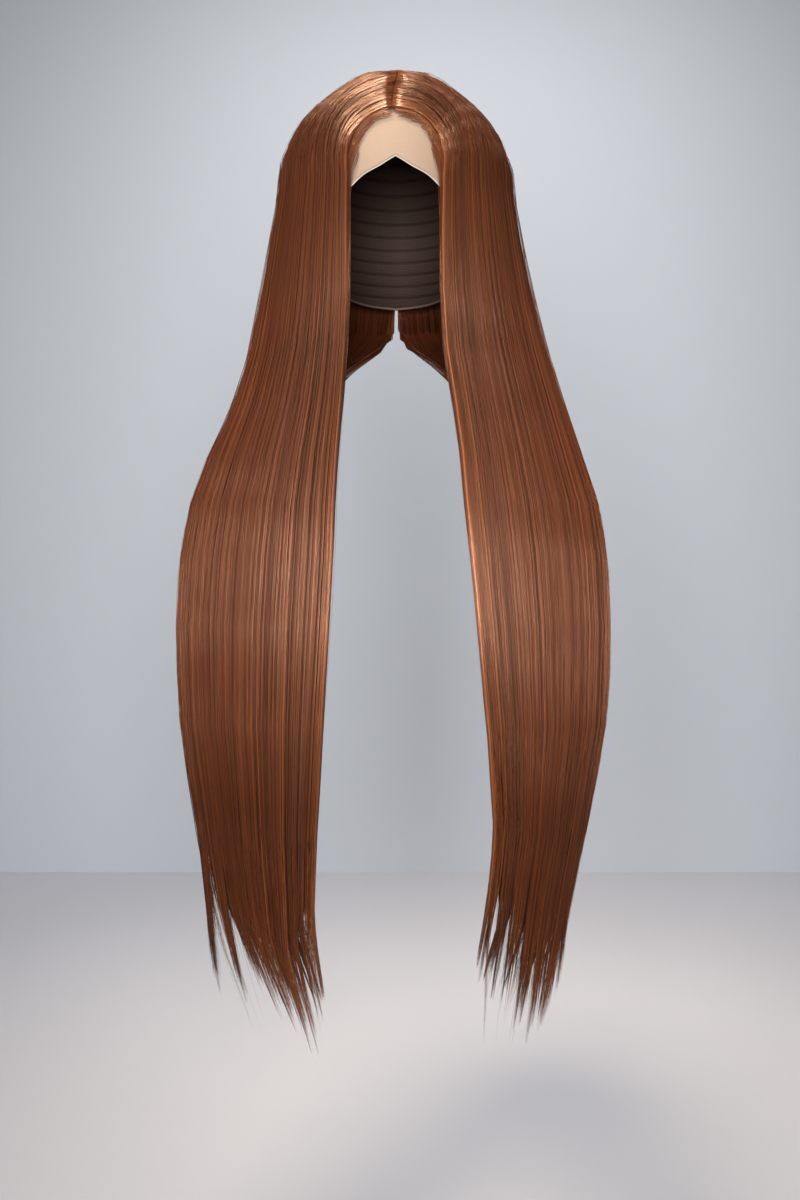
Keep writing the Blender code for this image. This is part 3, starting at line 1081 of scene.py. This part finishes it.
class WIG_OT_hair_base(bpy.types.Operator):
    """Add the ribbed layers of hair that carry the strands"""

    bl_idname = "wig.hair_base"
    bl_label = "Hair layers"

    def execute(self, context):
        settings = context.scene.wig_hair
        finish = hair_finish("hair_layers", settings, 0.15)
        uv = finish.node("ShaderNodeUVMap", {"uv_map": "course"})
        ridges = finish.noise(finish.stretched(uv, (260, 3, 1)), 1.0, 4.0)
        finish.bump(ridges, 0.6, 0.0012)
        for side in ("left", "right"):
            for layer, start in (("front", 0.0), ("back", 1.0)):
                self.add_layer(f"hair_layer_{layer}_{side}", side, start, layer, finish)
        return {"FINISHED"}

    def add_layer(self, name, side, start, layer, finish):
        rng = np.random.default_rng(11 + len(name))
        columns, dome, hang = 121, 14, 22
        across = np.linspace(start + 0.006, start + 0.994, columns)
        table = np.array(LOCKS[f"{layer}_{side}"], dtype=float)
        tip = np.interp(across, (table[:, 0] + table[:, 1]) / 2, table[:, 3]) * MM
        length = WIDEST_LEVEL - tip - 0.078 - rng.uniform(0, 0.03, columns)
        course = np.concatenate([np.linspace(0, 1, dome)[:-1], 1 + np.linspace(0, 1, hang)])
        grid = np.repeat(course[None, :], columns, axis=0)
        grid[:, dome - 1 :] = 1 + (grid[:, dome - 1 :] - 1) * length[:, None]
        outer, inner = courses(side, across[:, None], grid)
        lump = 0.5 + 0.5 * np.sin(across * 150 + 3 * np.sin(across * 17))
        rib = 0.80 - 0.10 * lump[:, None] * smooth_step(grid / 0.3)
        end = np.clip((grid[:, -1:] - grid) / 0.25, 0.06, 1) ** 0.6
        middle = 0.42
        top = mix(middle, rib, end)
        low = mix(middle, 0.0, end)
        surface = inner + (outer - inner) * top[..., None]
        backing = inner + (outer - inner) * low[..., None]
        for points in (surface, backing):
            points[..., 0] = np.maximum(points[..., 0], 0.3 * MM)
        long = grid.shape[1]
        total = columns * long
        points = to_side(np.stack([surface, backing]).reshape(-1, 3), side)
        number = np.arange(total).reshape(columns, long)
        faces = np.concatenate([
            grid_faces(columns, long),
            grid_faces(columns, long, total, flip=True),
            rim_faces(number[:, 0], total),
            rim_faces(number[:, -1], total, flip=True),
            rim_faces(number[0], total, flip=True),
            rim_faces(number[-1], total),
        ])
        if side == "left":
            faces = faces[:, ::-1]
        tone = np.repeat(np.clip(rng.normal(0.4, 0.15, columns), 0, 1), long)
        piece = add_mesh(name, points, faces, finish, {"tone": np.tile(tone, 2)})
        add_uv(piece, np.tile(np.repeat(across, long), 2), np.tile(grid.ravel(), 2))
        finish_piece(piece, "hair", f"hair_{layer}_{side}")


class WIG_OT_hair_strands(bpy.types.Operator):
    """Add the strands of hair over the layers"""

    bl_idname = "wig.hair_strands"
    bl_label = "Strands"

    def execute(self, context):
        settings = context.scene.wig_hair
        finish = hair_finish("hair_strands", settings, 0.75)
        rng = np.random.default_rng(4021)
        for layer, count in (("front", settings.strands_front), ("back", settings.strands_back)):
            for side in ("left", "right"):
                strands = clump_strands(rng, side, layer, count)
                lines, outward, place = strands.lines(DOME_STEPS, len(HANG_STEPS))
                lines = strands.part(lines, place)
                tones = strands.shaded(place)
                thick = rng.uniform(0.6, 1.25, count)[:, None]
                widths = settings.strand_width * thick * taper(place, 0.02, 0.07)
                name = f"strands_{layer}_{side}"
                piece = strand_tubes(name, side, lines, outward, widths, tones, finish)
                finish_piece(piece, "hair")
        return {"FINISHED"}


class WIG_OT_stray_hairs(bpy.types.Operator):
    """Add the fine hairs along the hairline, the face edges and the crown"""

    bl_idname = "wig.stray_hairs"
    bl_label = "Stray hairs"

    def execute(self, context):
        settings = context.scene.wig_hair
        finish = hair_finish("stray_hairs", settings, 0.8)
        rng = np.random.default_rng(77)
        for side in ("left", "right"):
            strays = self.strays(rng, side, 260)
            self.add(f"strays_{side}", strays, (7, len(HANG_STEPS)), 0.10, settings, finish)
            hairline = self.hairline(rng, side, 420)
            self.add(f"hairline_{side}", hairline, (8, 3), 0.03, settings, finish)
        return {"FINISHED"}

    def add(self, name, strands, steps, tip, settings, finish):
        """Joins fine hairs into one piece, with steps over and below the head and a thin tip."""
        lines, outward, place = strands.lines(*steps)
        lines = strands.part(lines, place)
        thin = strands.rng.uniform(0.5, 0.8, strands.count)[:, None]
        widths = settings.strand_width * thin * taper(place, 0.01, tip)
        tones = strands.shaded(place)
        piece = strand_tubes(name, strands.side, lines, outward, widths, tones, finish)
        finish_piece(piece, "hair")

    def strays(self, rng, side, count):
        """Long single hairs at the face edge, the outer side and over the crown."""
        strands = Strands(rng, side, count)
        third = count // 3
        strands.across = np.concatenate([
            rng.uniform(-0.004, 0.03, third),
            rng.uniform(0.9, 1.1, third),
            rng.uniform(0.0, 2.0, count - 2 * third),
        ])
        strands.depth = rng.uniform(0.9, 1.05, count)
        strands.depth[:third] = rng.uniform(0.1, 1.0, third)
        strands.ends = 1 + rng.uniform(0.35, 0.72, count)
        strands.starts = rng.uniform(0, 0.3, count)
        # Lighter tones than the body's: painted light on the fine hairs, as along the lit face
        # edge.
        strands.tones = np.clip(rng.normal(0.7, 0.12, count), 0, 1)
        strands.wander = 2.5
        return strands

    def hairline(self, rng, side, count):
        """Short fine hairs that are rooted singly in the lace and lead into the front layer."""
        strands = Strands(rng, side, count)
        strands.across = -0.095 * rng.uniform(0, 1, count) ** 1.8
        strands.depth = rng.uniform(0.05, 0.45, count)
        strands.starts = rng.uniform(0.0, 0.8, count)
        strands.ends = strands.starts + rng.uniform(0.2, 0.45, count)
        # Lighter tones than the body's: painted light on the fine hairs, which sit in shade at the
        # hairline.
        strands.tones = np.clip(rng.normal(0.85, 0.12, count), 0, 1)

        def bend(across, course, place):
            grown = smooth_step((place - place[:, :1]) / 0.075)
            return mix(across, 0.02 + 0 * across, grown), 0.0

        strands.bend = bend
        return strands


class WIG_PT_pieces(bpy.types.Panel):
    """The wig's settings and pieces"""

    bl_label = "Lace Front Wig"
    bl_idname = "WIG_PT_pieces"
    bl_space_type = "VIEW_3D"
    bl_region_type = "UI"
    bl_category = "Wig"

    def draw(self, context):
        layout = self.layout
        for settings in (context.scene.wig_hair, context.scene.wig_cap, context.scene.wig_stage):
            box = layout.box()
            for key in settings.__annotations__:
                box.prop(settings, key)
        for operator in OPERATORS:
            layout.operator(operator.bl_idname)


GROUPS = {"wig_stage": StageSettings, "wig_cap": CapSettings, "wig_hair": HairSettings}
OPERATORS = (
    WIG_OT_stage,
    WIG_OT_lace,
    WIG_OT_cap,
    WIG_OT_hair_base,
    WIG_OT_hair_strands,
    WIG_OT_stray_hairs,
)


def register():
    for group in GROUPS.values():
        bpy.utils.register_class(group)
    for name, group in GROUPS.items():
        setattr(bpy.types.Scene, name, PointerProperty(type=group))
    for operator in OPERATORS:
        bpy.utils.register_class(operator)
    bpy.utils.register_class(WIG_PT_pieces)


def unregister():
    bpy.utils.unregister_class(WIG_PT_pieces)
    for operator in reversed(OPERATORS):
        bpy.utils.unregister_class(operator)
    for name, group in GROUPS.items():
        delattr(bpy.types.Scene, name)
        bpy.utils.unregister_class(group)


def main():
    register()
    bpy.ops.object.select_all(action="DESELECT")
    bpy.ops.wig.stage()
    bpy.ops.wig.lace()
    bpy.ops.wig.cap()
    bpy.ops.wig.hair_base()
    bpy.ops.wig.hair_strands()
    bpy.ops.wig.stray_hairs()


if __name__ == "__main__":
    main()
